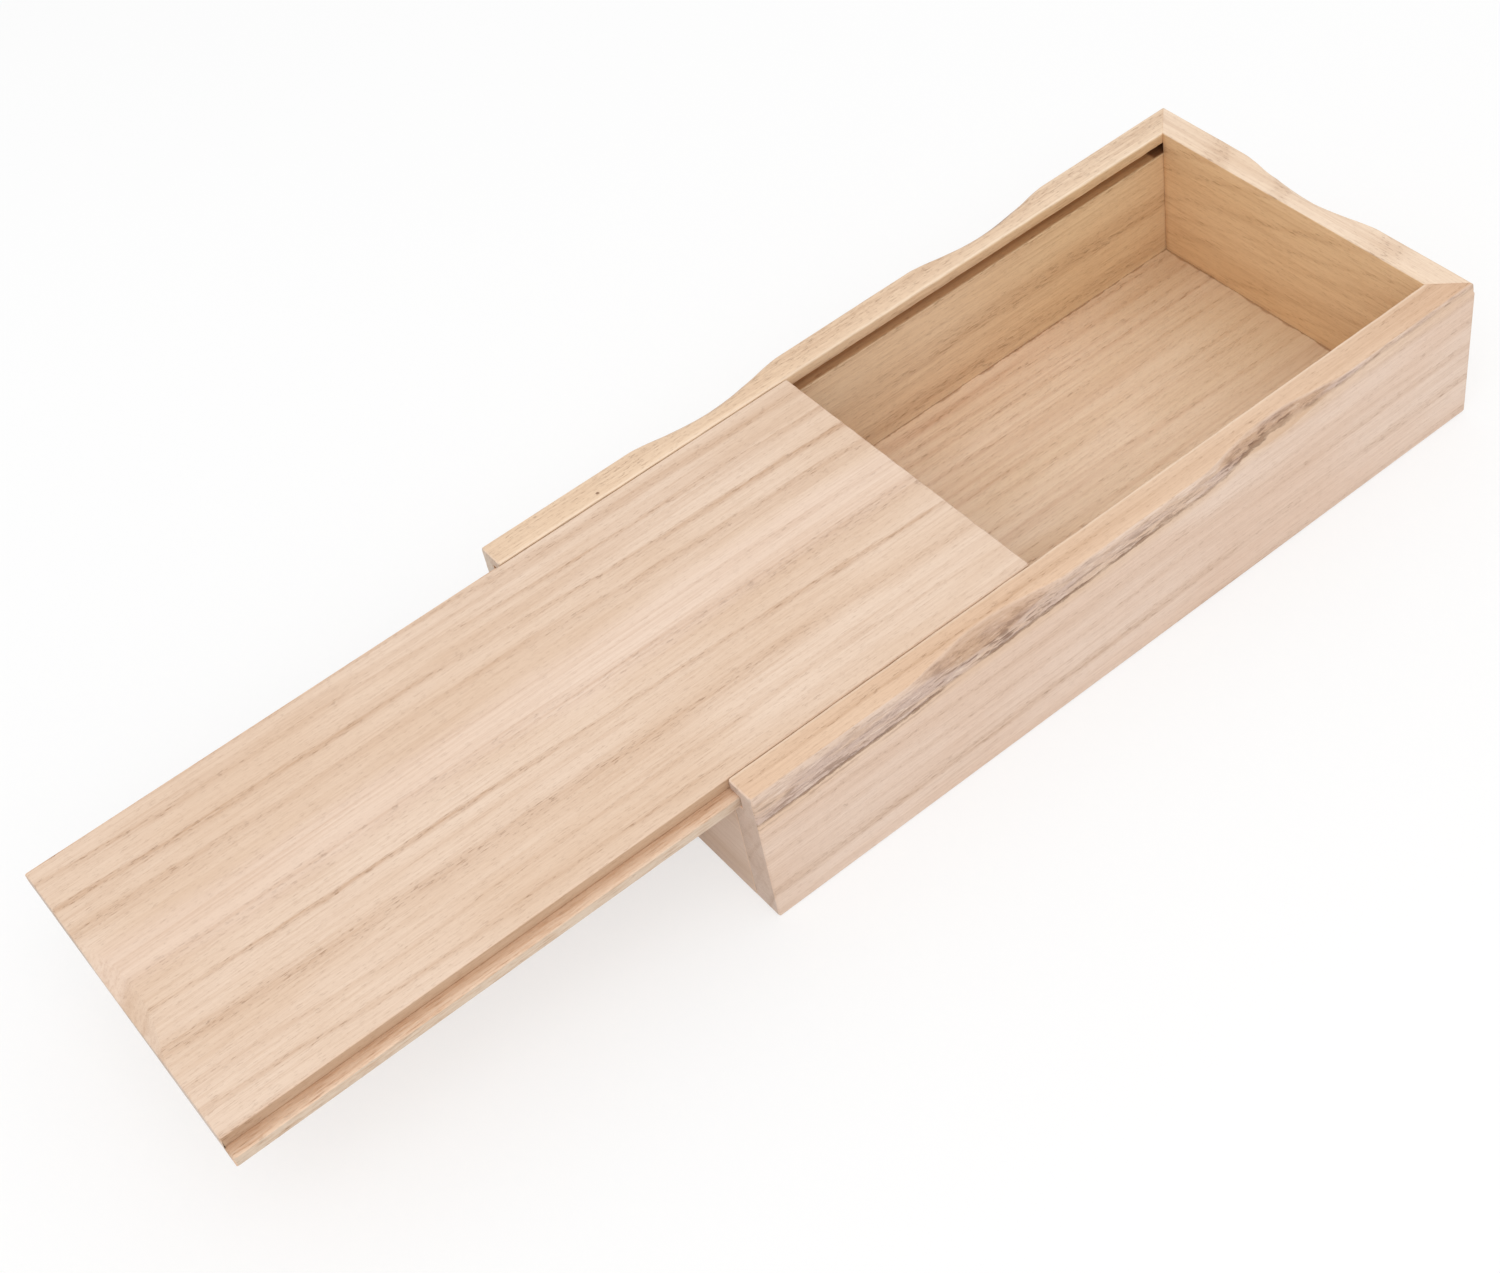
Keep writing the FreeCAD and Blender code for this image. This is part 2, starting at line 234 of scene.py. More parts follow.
def build_long_wall(name, side, seed):
    """Long wall with its groove, torn outer bevel, two hollows and mitred far end."""
    stations = []
    shear_from = FAR_END - 2 * WALL
    places = spaced(LOW_END, FAR_END, SOFT_EDGE / 2)
    for index, place in enumerate(places):
        part = (place - LOW_END) / (FAR_END - LOW_END)
        drop = BEVEL_DROP_LOW_END + (BEVEL_DROP_FAR_END - BEVEL_DROP_LOW_END) * part
        hollow = max(
            hollow_inset(place - middle)
            for middle in (-HOLLOW_SPACING / 2, HOLLOW_SPACING / 2)
        )
        lip_wear = LIP_WEAR * ragged(place, seed)
        corners = [
            (INNER, 0.0, 0.0, 1),
            (HALF_WIDTH, 0.0, HARD_EDGE, 1),
            *outer_top_edge(HALF_WIDTH, drop, hollow),
            (INNER + lip_wear, RIM, LIP_EDGE, 1),
            (INNER + lip_wear, GROOVE_TOP, HARD_EDGE, 1),
            (INNER + GROOVE_DEPTH, GROOVE_TOP, 0.0, 1),
            (INNER + GROOVE_DEPTH, GROOVE_FLOOR, 0.0, 1),
            (INNER, GROOVE_FLOOR, HARD_EDGE, 1),
        ]
        if index == 0:
            corners = drawn_in(corners, SOFT_EDGE / 2)
        if index == len(places) - 1:
            corners = drawn_in(corners, SEAM)
        outline = torn(skin_outline(corners), HALF_WIDTH, drop, place, seed)
        shear = max(0.0, (place - shear_from) / (FAR_END - shear_from))
        stations.append([
            Vector((place - shear * (HALF_WIDTH - point.x), side * point.x, point.y))
            for point in outline
        ])
    return loft(name, stations)


def build_far_end_wall(name, seed):
    """Far end wall, mitred at both ends, with one hollow."""
    stations = []
    places = spaced(-HALF_WIDTH, HALF_WIDTH, SEAM)
    for index, place in enumerate(places):
        corners = [
            (FAR_INNER, 0.0, 0.0, 1),
            (FAR_END, 0.0, HARD_EDGE, 1),
            *outer_top_edge(FAR_END, BEVEL_DROP_FAR_END, hollow_inset(place)),
            (FAR_INNER, RIM, LIP_EDGE, 1),
        ]
        if index in (0, len(places) - 1):
            corners = drawn_in(corners, SEAM)
        outline = torn(skin_outline(corners), FAR_END, BEVEL_DROP_FAR_END, place, seed)
        stations.append([
            Vector((point.x, place * (1 - (FAR_END - point.x) / HALF_WIDTH), point.y))
            for point in outline
        ])
    return loft(name, stations)


def build_low_end_wall(name, seed):
    """Low end wall, with the slope on its top that leads the lid in."""
    stations = []
    places = spaced(-INNER, INNER, SEAM)
    for index, place in enumerate(places):
        wear = SLOPE_WEAR * ragged(place, seed)
        corners = [
            (LOW_INNER, 0.0, 0.0, 1),
            (LOW_INNER, GROOVE_FLOOR, HARD_EDGE, 1),
            (LOW_END + LEAD_IN_WIDTH + wear, GROOVE_FLOOR, HARD_EDGE, 4),
            (LOW_END, GROOVE_FLOOR - LEAD_IN_DROP - abs(wear), SOFT_EDGE, 1),
            (LOW_END, 0.0, HARD_EDGE, 1),
        ]
        if index in (0, len(places) - 1):
            corners = drawn_in(corners, SEAM)
        stations.append(
            [Vector((point.x, place, point.y)) for point in skin_outline(corners)])
    return loft(name, stations)


def build_bottom_board(name):
    """Bottom board between the walls."""
    corners = [
        (-INNER, 0.0, SEAM, 1),
        (INNER, 0.0, SEAM, 1),
        (INNER, FLOOR_TOP, SEAM, 1),
        (-INNER, FLOOR_TOP, SEAM, 1),
    ]
    stations = []
    places = [LOW_INNER, LOW_INNER + SEAM, FAR_INNER - SEAM, FAR_INNER]
    for index, place in enumerate(places):
        ended = index in (0, len(places) - 1)
        outline = skin_outline(drawn_in(corners, SEAM) if ended else corners)
        stations.append([Vector((place, point.x, point.y)) for point in outline])
    return loft(name, stations)


def build_lid(name, seed):
    """Lid, skinned across its width: tongues, top layer and the hollow in its low end."""
    tongue_edge = lid_high.y
    near_side = [
        (-tongue_edge, TONGUE_TOP, HARD_EDGE),
        (-tongue_edge + HARD_EDGE, TONGUE_TOP, 0.0),
        (-LID_TOP_EDGE, TONGUE_TOP, 0.0),
        (-LID_TOP_EDGE, RIM, HARD_EDGE),
    ]
    middle = [
        (place, RIM, 0.0) for place in spaced(-LID_TOP_EDGE, LID_TOP_EDGE, HARD_EDGE)[1:-1]
    ]
    far_side = [(-place, top, ease) for place, top, ease in reversed(near_side)]
    stations = []
    for place, top, ease in near_side + middle + far_side:
        hollow = hollow_inset(place) if top == RIM else 0.0
        inset = max(hollow, HARD_EDGE) + LID_WEAR * (1 + ragged(place, seed))
        chip = HARD_EDGE + LID_WEAR * (1 + ragged(place, seed + 5, 260.0))
        outline = skin_outline([
            (lid_low.x + ease, lid_low.z + ease, HARD_EDGE, 1),
            (lid_low.x + ease, top - ease - inset, HARD_EDGE, 1),
            (lid_low.x + ease + inset, top - ease, HARD_EDGE, 1),
            (lid_high.x - ease - chip, top - ease, 0.0, 1),
            (lid_high.x - ease, top - ease - chip, 0.0, 1),
            (lid_high.x - ease, lid_low.z + ease, HARD_EDGE, 1),
        ])
        stations.append([Vector((point.x, place, point.y)) for point in outline])
    return loft(name, stations)


def linear(red, green, blue):
    """Turn an everyday 0 to 255 colour into the linear one that shaders use."""
    def channel(value):
        part = value / 255
        return part / 12.92 if part <= 0.04045 else ((part + 0.055) / 1.055) ** 2.4
    return (channel(red), channel(green), channel(blue), 1.0)


class Value:
    """A number or colour that varies over a surface. Arithmetic on it adds nodes."""

    def __init__(self, graph, socket):
        self.graph = graph
        self.socket = socket

    def __add__(self, other):
        return self.graph.math("ADD", self, other)

    def __sub__(self, other):
        return self.graph.math("SUBTRACT", self, other)

    def __mul__(self, other):
        return self.graph.math("MULTIPLY", self, other)

    def __truediv__(self, other):
        return self.graph.math("DIVIDE", self, other)

    def __abs__(self):
        return self.graph.math("ABSOLUTE", self, 0.0)

    def ramp(self, low, high, to_low=0.0, to_high=1.0, smooth=True):
        """Go from one value to another while this one goes from low to high."""
        return self.graph.add(
            "ShaderNodeMapRange",
            {"Value": self, "From Min": low, "From Max": high,
             "To Min": to_low, "To Max": to_high},
            interpolation_type="SMOOTHSTEP" if smooth else "LINEAR")


class Graph:
    """A material in the making, with calls that add its nodes."""

    def __init__(self, name, seed=0.0):
        self.material = bpy.data.materials.new(name)
        self.material.use_nodes = True
        self.tree = self.material.node_tree
        self.tree.nodes.clear()
        self.seed = seed
        own = self.add("ShaderNodeTexCoord", output="Object")
        self.place = self.scaled(own, (1000.0, 1000.0, 1000.0))
        self.x, self.y, self.z = self.split(self.place)
        self.facing = self.split(self.add("ShaderNodeTexCoord", output="Normal"))

    def add(self, kind, inputs=None, output=0, **settings):
        """Add a node, set or link its inputs, and give back one of its outputs."""
        made = self.tree.nodes.new(kind)
        for key, value in settings.items():
            setattr(made, key, value)
        for key, value in (inputs or {}).items():
            if isinstance(value, Value):
                self.tree.links.new(value.socket, made.inputs[key])
            else:
                made.inputs[key].default_value = value
        return Value(self, made.outputs[output])

    def math(self, operation, first, second):
        return self.add("ShaderNodeMath", {0: first, 1: second}, operation=operation)

    def split(self, vector):
        part = self.add("ShaderNodeSeparateXYZ", {0: vector})
        return [Value(self, socket) for socket in part.socket.node.outputs]

    def joined(self, x=0.0, y=0.0, z=0.0):
        return self.add("ShaderNodeCombineXYZ", {0: x, 1: y, 2: z})

    def scaled(self, vector, factors):
        return self.add("ShaderNodeVectorMath", {0: vector, 1: factors}, operation="MULTIPLY")

    def length(self, vector):
        return self.add("ShaderNodeVectorMath", {0: vector}, output=1, operation="LENGTH")

    def noise(self, vector, factors, detail=2.0, roughness=0.5):
        """Noise from 0 to 1. Each factor is one over the size of its lumps in millimetres."""
        return self.add(
            "ShaderNodeTexNoise",
            {"Vector": self.scaled(vector, factors), "W": self.seed, "Scale": 1.0,
             "Detail": detail, "Roughness": roughness},
            noise_dimensions="4D")

    def mix(self, share, first, second, blend="MIX"):
        return self.add("ShaderNodeMix", {0: share, 6: first, 7: second}, output=2,
                        data_type="RGBA", blend_type=blend)

    def facing_up(self):
        """Share that is 1 on faces that look straight up, such as the rim."""
        return self.facing[2].ramp(0.7, 0.95)

    def surface(self, shader):
        """End the material with a shader, and give the material back."""
        output = self.tree.nodes.new("ShaderNodeOutputMaterial")
        self.tree.links.new(shader.socket, output.inputs[0])
        return self.material


# One look for all boards, with lengths in millimetres. A board's own look changes what it
# names.
BOARD_LOOK = {
    # Axis of the grain, and a number that makes each board's figure its own.
    "grain": "X",
    "seed": 1.0,
    # Colours of the wood between the growth lines, of the lines, of the pores, and the tint
    # of the end grain.
    "pale": linear(238, 213, 191),
    "warm": linear(230, 201, 175),
    "line": linear(197, 158, 126),
    "pore": linear(168, 124, 92),
    "end": linear(231, 238, 247),
    # Where the tree's middle lies across and above the board, how wide a growth ring is, and
    # how unevenly the rings follow each other.
    "pith": (150.0, -40.0),
    "ring": 8.0,
    "spread": 2.0,
    # Shares of a ring over which its line fades out and rises, and how frayed it is.
    "fade": 0.4,
    "rise": 0.14,
    "fray": 3.0,
    # How the rings lean and wander across and upward along the board.
    "slope": 0.0,
    "climb": 0.0,
    "drift": 8.0,
    "sway": 0.0,
    # How strongly lines, broad bands and pores show, and how wide a band is.
    "line_share": 0.8,
    "band_share": 0.25,
    "band_width": 3.0,
    "pore_share": 0.5,
}
FRONT_WALL_LOOK = {
    "seed": 3.0,
    "pale": linear(240, 214, 193),
    "warm": linear(233, 202, 178),
    "pith": (-190.0, -60.0),
    "ring": 4.0,
    "fray": 1.2,
    "line_share": 0.5,
}
BACK_WALL_LOOK = {
    "seed": 8.0,
    "pale": linear(252, 231, 208),
    "warm": linear(247, 222, 196),
    "pith": (200.0, -100.0),
    "ring": 9.0,
    "fade": 0.5,
    "sway": 8.0,
    "line_share": 0.6,
}
FAR_END_WALL_LOOK = {
    "grain": "Y",
    "seed": 14.0,
    "pale": linear(247, 224, 200),
    "warm": linear(241, 214, 186),
    "pith": (110.0, -70.0),
    "ring": 7.0,
    "climb": 0.25,
    "drift": 16.0,
    "sway": 22.0,
    "line_share": 0.5,
}
LOW_END_WALL_LOOK = {
    "grain": "Y",
    "seed": 21.0,
    "pith": (-90.0, -100.0),
    "ring": 10.0,
    "line_share": 0.2,
    "pore_share": 0.15,
}
BOTTOM_BOARD_LOOK = {
    "seed": 27.0,
    "pale": linear(241, 216, 190),
    "warm": linear(233, 205, 174),
    "line": linear(201, 155, 122),
    "pith": (-170.0, -20.0),
    "ring": 4.6,
    "fade": 0.55,
    "rise": 0.3,
    "fray": 1.4,
    "slope": 0.05,
    "drift": 10.0,
    "line_share": 0.55,
    "band_share": 0.6,
    "band_width": 6.0,
}
LID_LOOK = {
    "seed": 33.0,
    "pale": linear(236, 212, 191),
    "warm": linear(228, 200, 175),
    "pith": (160.0, -40.0),
    "ring": 8.0,
    "spread": 1.8,
    "slope": 0.04,
    "drift": 20.0,
    "line_share": 0.9,
    "pore_share": 0.55,
}


def growth(graph, look):
    """Growth rings round a far pith: how much line there is, from 0 to 1, and the board's
    own coordinates with the grain along X."""
    if look["grain"] == "X":
        along, across, up = graph.x, graph.y, graph.z
    else:
        along, across, up = graph.y, graph.x, graph.z
    board = graph.joined(along, across, up)
    wander = graph.noise(board, (0.0045, 0.014, 0.014), 3.0, 0.45) - 0.5
    shifted = across + along * look["slope"] + wander * look["drift"]
    pith_across, pith_up = look["pith"]
    lifted = up + along * look["climb"] + wander * look["sway"]
    spoke = graph.joined(0.0, shifted - pith_across, lifted - pith_up)
    frayed = graph.noise(board, (0.09, 1.3, 1.3), 5.0, 0.75) - 0.5
    radius = graph.length(spoke) + frayed * look["fray"]
    uneven = graph.noise(graph.joined(radius), (0.07, 1.0, 1.0), 1.0)
    rings = radius / look["ring"] + uneven * look["spread"]
    phase = graph.math("FRACT", rings, 0.0)
    number = graph.math("ROUND", rings, 0.0) + look["seed"]
    strength = graph.add("ShaderNodeTexWhiteNoise", {"W": number}, noise_dimensions="1D")
    fading = phase.ramp(look["fade"], 0.0)
    rising = phase.ramp(1.0 - look["rise"], 1.0)
    line = graph.math("MAXIMUM", fading * fading, rising)
    patchy = graph.noise(board, (0.012, 0.08, 0.08), 2.0).ramp(0.3, 0.6, 0.35, 1.0)
    brushed = graph.noise(board, (0.06, 1.8, 1.8), 4.0, 0.75).ramp(0.38, 0.6, 0.4, 1.0)
    line = line * strength.ramp(0.0, 1.0, 0.3, 1.0, smooth=False)
    return line * patchy * brushed, board


def figure(graph, look):
    """Colour and height of one board's wood."""
    line, board = growth(graph, look)
    fibres = graph.noise(board, (0.03, 1.5, 1.5), 5.0, 0.65)
    hair = graph.noise(board, (0.12, 6.0, 6.0), 2.0, 0.6)
    grit = graph.noise(board, (0.7, 1.6, 1.6), 3.0, 0.7)
    dashes = (graph.noise(board, (0.4, 4.2, 4.2), 2.0, 0.6) + line * 0.04).ramp(0.6, 0.66)
    flecks = graph.noise(board, (0.3, 1.8, 1.8), 2.0, 0.6).ramp(0.66, 0.72)
    band_width = look["band_width"]
    bands = graph.noise(board, (0.006, 1.0 / band_width, 1.0 / band_width), 3.0, 0.6)
    mottle = graph.noise(board, (0.016, 0.06, 0.06), 3.0).ramp(0.32, 0.68)

    colour = graph.mix(mottle, look["pale"], look["warm"])
    colour = graph.mix(line * look["line_share"], colour, look["line"])
    colour = graph.mix(bands.ramp(0.45, 0.75) * look["band_share"], colour, look["line"])
    colour = graph.mix(fibres.ramp(0.42, 0.72) * 0.3, colour, look["line"])
    colour = graph.mix(hair.ramp(0.45, 0.8) * 0.23, colour, look["pore"])
    colour = graph.mix(grit.ramp(0.5, 0.8) * 0.2, colour, look["line"])
    pores = dashes * line.ramp(0.0, 0.5, 0.45, 1.0)
    colour = graph.mix(pores * look["pore_share"], colour, look["pore"])
    colour = graph.mix(flecks * 0.25, colour, look["pore"])

    grain_axis = 0 if look["grain"] == "X" else 1
    end_grain = abs(graph.facing[grain_axis]).ramp(0.75, 0.95)
    colour = graph.mix(end_grain, colour, graph.mix(1.0, colour, look["end"], "MULTIPLY"))
    height = fibres * 0.5 + hair * 0.35 + grit * 0.4 - pores * 0.4 - line * 0.15
    return colour, height


def wood(name, add_marks, changes):
    """Unfinished wood of one board, with the marks that the board's own function adds."""
    look = {**BOARD_LOOK, **changes}
    graph = Graph(name, look["seed"])
    colour, height = figure(graph, look)
    roughness = height.ramp(0.3, 1.1, 0.74, 0.5)
    colour, height = add_marks(graph, colour, height)
    bump = graph.add("ShaderNodeBump",
                     {"Strength": 1.0, "Distance": GRAIN_DEPTH, "Height": height})
    return graph.surface(graph.add(
        "ShaderNodeBsdfPrincipled",
        {"Base Color": colour, "Roughness": roughness, "Normal": bump,
         "Specular IOR Level": 0.3}))


def tinted(graph, colour, share, tint):
    """Multiply a colour by a tint where its share is 1."""
    return graph.mix(share, colour, graph.mix(1.0, colour, tint, "MULTIPLY"))


def spot(graph, place, size):
    """Small uneven blot round a place in millimetres."""
    away = graph.add("ShaderNodeVectorMath", {0: graph.place, 1: place}, output=1,
                     operation="DISTANCE")
    uneven = graph.noise(graph.place, (0.9, 0.9, 0.9), 2.0) - 0.5
    return (away + uneven * size).ramp(size, size * 0.4)


def inner_side(graph, side):
    """Where a long wall faces the inside of the box, its groove included."""
    inward = (graph.facing[1] * -side).ramp(0.4, 0.8)
    groove_wall = (INNER + GROOVE_DEPTH) / MM
    before_groove_wall = abs(graph.y).ramp(groove_wall + 0.3, groove_wall)
    below_lip = graph.z.ramp(GROOVE_TOP / MM + 0.3, GROOVE_TOP / MM)
    lengthwise = abs(graph.facing[0]).ramp(0.6, 0.3)
    return graph.math("MAXIMUM", inward, before_groove_wall * below_lip * lengthwise)


def paint_groove_shade_and_lip_highlight(graph, colour):
    """Brown painted shade in a long wall's groove, darker at its blind end, and a pale painted
    highlight on its lip's arris.
    """
    inner = INNER / MM
    rim = RIM / MM
    groove_wall = (INNER + GROOVE_DEPTH) / MM
    half_height = GROOVE_HEIGHT / MM / 2
    depth = abs(graph.y)
    in_groove = depth.ramp(inner + 0.1, inner + 0.7)
    in_groove = in_groove * depth.ramp(groove_wall + 0.3, groove_wall + 0.1)
    from_middle = abs(graph.z - GROOVE_MIDDLE / MM)
    in_groove = in_groove * from_middle.ramp(half_height + 0.3, half_height - 0.1)
    # Painted shade inside the groove.
    colour = tinted(graph, colour, in_groove, linear(214, 186, 156))
    blind_end = graph.x.ramp(FAR_INNER / MM - 3.2, FAR_INNER / MM - 2.2)
    # Darker painted shade where the groove ends blind at the far end wall.
    colour = tinted(graph, colour, in_groove * blind_end, linear(150, 118, 92))
    # Painted highlight along the arris of the lip.
    lip_highlight = depth.ramp(inner + 0.9, inner + 0.3) * graph.z.ramp(rim - 0.6, rim - 0.2)
    return graph.mix(lip_highlight * 0.4, colour, linear(250, 230, 207))


def torn_band_place(graph):
    """How far above the torn band's wavy foot a point is, and how far down the band from 0
    to 1. The band is deep at the low end and halves twice on its way to the far end."""
    low_end_depth, middle_depth, wave_depth = 8.4, 5.0, 2.2
    foot = graph.x.ramp(LOW_END / MM, 25.0, low_end_depth, middle_depth, smooth=False)
    first_halving = graph.x.ramp(22.0, 36.0, 1.0, 0.5)
    second_halving = graph.x.ramp(46.0, 76.0, 1.0, 0.5)
    wave = graph.noise(graph.place, (0.05, 0.0, 0.0), 4.0, 0.6) - 0.5
    foot = foot * first_halving * second_halving + wave * wave_depth
    below_rim = graph.z * -1.0 + RIM / MM
    return foot - below_rim, below_rim / foot


def add_torn_band(graph, colour, height, outward):
    """Torn greyish fibres below the rim, whose lilac tone is partly painted shade, and painted
    shade on the scooped faces of the hollows.
    """
    above_foot, down_band = torn_band_place(graph)
    strokes = graph.noise(graph.place, (0.17, 1.15, 1.15), 4.0, 0.65)
    frayed_top = down_band + (strokes - 0.5) * 0.9
    band = above_foot.ramp(-0.3, 0.5) * outward * frayed_top.ramp(0.05, 0.35, 0.1, 1.0)
    at_hollow = abs(abs(graph.x) - HOLLOW_SPACING / 2 / MM).ramp(28.0, 10.0)

    blotch = graph.noise(graph.place, (0.05, 0.35, 0.35), 3.0, 0.6)
    # The lilac stands for greyer torn wood and partly for painted shade.
    lilac, tan = linear(206, 180, 166), linear(220, 189, 163)
    dark_fibre, pale_fibre = linear(124, 90, 70), linear(246, 226, 208)
    dark_share = strokes.ramp(0.5, 0.6) * down_band.ramp(0.15, 0.8, 0.2, 1.0)
    dark_share = dark_share * at_hollow.ramp(0.0, 1.0, 0.7, 1.0)
    rough = graph.mix(blotch.ramp(0.35, 0.65), lilac, tan)
    rough = graph.mix(dark_share * 0.8, rough, dark_fibre)
    rough = graph.mix(strokes.ramp(0.45, 0.33) * 0.6, rough, pale_fibre)
    colour = graph.mix(band * 0.9, colour, rough)

    # Painted shade on the scooped faces of the hollows.
    leaning = graph.facing[2].ramp(0.2, 0.45) * graph.facing[2].ramp(0.9, 0.7)
    colour = tinted(graph, colour, at_hollow * outward * leaning, linear(234, 224, 214))
    height = height + band * (strokes - 0.5) * 6.0
    return add_foot_line(graph, colour, height, above_foot, outward)


def add_foot_line(graph, colour, height, above_foot, outward):
    """Broken brown line along the torn band's foot, in a warm halo, with a fainter line
    below it at the low end."""
    halo = above_foot.ramp(-4.0, -0.4) * above_foot.ramp(0.6, -0.2) * outward
    colour = graph.mix(halo * 0.4, colour, linear(218, 184, 150))
    flicks = graph.noise(graph.place, (0.4, 1.2, 1.2), 4.0, 0.75) - 0.5
    broken = graph.noise(graph.place, (0.07, 0.3, 0.3), 3.0).ramp(0.38, 0.56, 0.15, 1.0)
    broken = broken * graph.x.ramp(30.0, 75.0, 1.0, 0.35) * outward
    line = abs(above_foot + flicks * 2.2).ramp(0.6, 0.1) * broken
    colour = graph.mix(line * 0.65, colour, linear(124, 86, 60))
    line_below = abs(above_foot + 1.5 + flicks * 1.5).ramp(0.4, 0.1) * broken
    line_below = line_below * graph.x.ramp(-20.0, -90.0)
    colour = graph.mix(line_below * 0.4, colour, linear(140, 100, 76))
    return colour, height - line * 1.5


def front_wall_marks(graph, colour, height):
    """Pinkish outer face with its torn band, and a tan inner face whose tan is painted warm shade
    and bounce light.
    """
    outward = (graph.facing[1] * -1.0).ramp(0.3, 0.75)
    colour = tinted(graph, colour, outward, linear(246, 250, 255))
    colour = tinted(graph, colour, graph.facing_up(), linear(247, 240, 229))
    # Painted warm shade and bounce light on the inner face.
    colour = tinted(graph, colour, inner_side(graph, -1.0), linear(250, 244, 230))
    colour = paint_groove_shade_and_lip_highlight(graph, colour)
    return add_torn_band(graph, colour, height, outward)


def back_wall_marks(graph, colour, height):
    """Pinkish outer face with its torn band, a tan inner face that is palest in the middle,
    and a speck on the rim. The inner face's tan is painted warm shade and bounce light."""
    outward = graph.facing[1].ramp(0.3, 0.75)
    colour = tinted(graph, colour, outward, linear(246, 249, 255))
    colour = tinted(graph, colour, graph.facing_up(), linear(250, 246, 240))
    inner = inner_side(graph, 1.0)
    towards_low_end = graph.x.ramp(-10.0, -80.0)
    towards_far_end = graph.x.ramp(10.0, 70.0)
    # Painted warm shade and bounce light on the inner face, darker towards both ends.
    colour = tinted(graph, colour, inner, linear(243, 238, 226))
    colour = tinted(graph, colour, inner * towards_low_end, linear(232, 224, 217))
    colour = tinted(graph, colour, inner * towards_far_end, linear(246, 241, 228))
    speck = spot(graph, (-76.4, 43.9, RIM / MM), 0.6)
    colour = graph.mix(speck * 0.8, colour, linear(120, 84, 58))
    colour = paint_groove_shade_and_lip_highlight(graph, colour)
    return add_torn_band(graph, colour, height, outward)


def far_end_wall_marks(graph, colour, height):
    """Orange tan inner face, its tint painted warm shade and bounce light."""
    # Painted warm shade and bounce light on the inner face.
    inward = (graph.facing[0] * -1.0).ramp(0.85, 0.98)
    return tinted(graph, colour, inward, linear(247, 234, 207)), height


def low_end_wall_marks(graph, colour, height):
    """Greyer outer face, torn lead-in slope, a small pit and the knot in the top arris."""
    outward = (graph.facing[0] * -1.0).ramp(0.6, 0.9)
    colour = tinted(graph, colour, outward, linear(238, 242, 249))
    level = GROOVE_FLOOR / MM
    slope_edge = (LOW_END + LEAD_IN_WIDTH) / MM
    ragged_edge = graph.noise(graph.place, (0.5, 0.12, 0.5), 3.0, 0.6) - 0.5
    torn_top = (graph.x - ragged_edge * 3.0).ramp(slope_edge + 0.4, slope_edge - 0.4)
    torn_top = torn_top * graph.z.ramp(level - 2.4, level - 1.2)
    strokes = graph.noise(graph.place, (2.6, 0.3, 2.6), 4.0, 0.7)
    fibres = graph.mix(strokes.ramp(0.42, 0.6), linear(236, 202, 174), linear(206, 156, 120))
    fibres = graph.mix(strokes.ramp(0.58, 0.68) * 0.7, fibres, linear(150, 100, 70))
    colour = graph.mix(torn_top * 0.65, colour, fibres)
    height = height + torn_top * (strokes - 0.5) * 4.0
    pit = spot(graph, (LOW_END / MM, 35.0, level + 0.1), 0.9)
    colour = graph.mix(pit * 0.8, colour, linear(112, 76, 54))
    return add_knot(graph, colour, height - pit * 3.0)


def add_knot(graph, colour, height):
    """Dark knot of curved brown strokes, with a calm olive part on the front wall's side.
    The slope is unrolled into the outer face, so that the knot runs on over the arris."""
    knot_y, knot_z, knot_size = -0.2, 29.3, 6.9
    low_end = LOW_END / MM
    slope_edge = (LOW_END + LEAD_IN_WIDTH) / MM
    slope_reach = 7.0
    over_arris = graph.x.ramp(low_end, low_end + slope_reach, 0.0, slope_reach, smooth=False)
    side = graph.y - knot_y
    rise = graph.z - knot_z + over_arris
    wobble = (graph.noise(graph.place, (0.0, 0.25, 0.25), 3.0, 0.6) - 0.5) * 2.4
    from_centre = graph.length(graph.joined(0.0, side * 0.92, rise)) + wobble
    on_slope_or_face = graph.x.ramp(slope_edge + 0.7, slope_edge + 0.1)
    knot = from_centre.ramp(knot_size + 0.3, knot_size - 0.4) * on_slope_or_face

    bend_side, bend_rise, stroke_turn = -4.0, -14.0, 5.2
    from_bend = graph.length(graph.joined(0.0, side - bend_side, rise - bend_rise))
    from_bend = from_bend + wobble * 0.4
    along_strokes = side * 0.83 - rise * 0.56
    unrolled = graph.joined(along_strokes, from_bend)
    uneven = graph.noise(unrolled, (0.22, 0.8, 1.0), 1.5, 0.6) - 0.5
    strokes = (graph.math("SINE", from_bend * stroke_turn, 0.0) + uneven * 6.0).ramp(-0.3, 0.7)
    filled = graph.noise(unrolled, (0.25, 0.35, 1.0), 2.0).ramp(0.4, 0.58)
    heart = graph.mix(filled, linear(206, 170, 140), linear(162, 118, 90))
    heart = graph.mix(strokes, heart, linear(108, 72, 53))

    olive = graph.mix(strokes * 0.25, linear(206, 178, 144), linear(150, 112, 76))
    near_edge = from_centre.ramp(knot_size - 1.2, knot_size - 0.3)
    olive = graph.mix(near_edge * 0.7, olive, linear(160, 120, 82))
    calm = (side * -0.9 - rise * 0.44 + uneven * 3.0).ramp(1.5, 3.3)
    colour = graph.mix(knot * 0.92, colour, graph.mix(calm, heart, olive))
    return colour, height - knot * strokes * 2.0


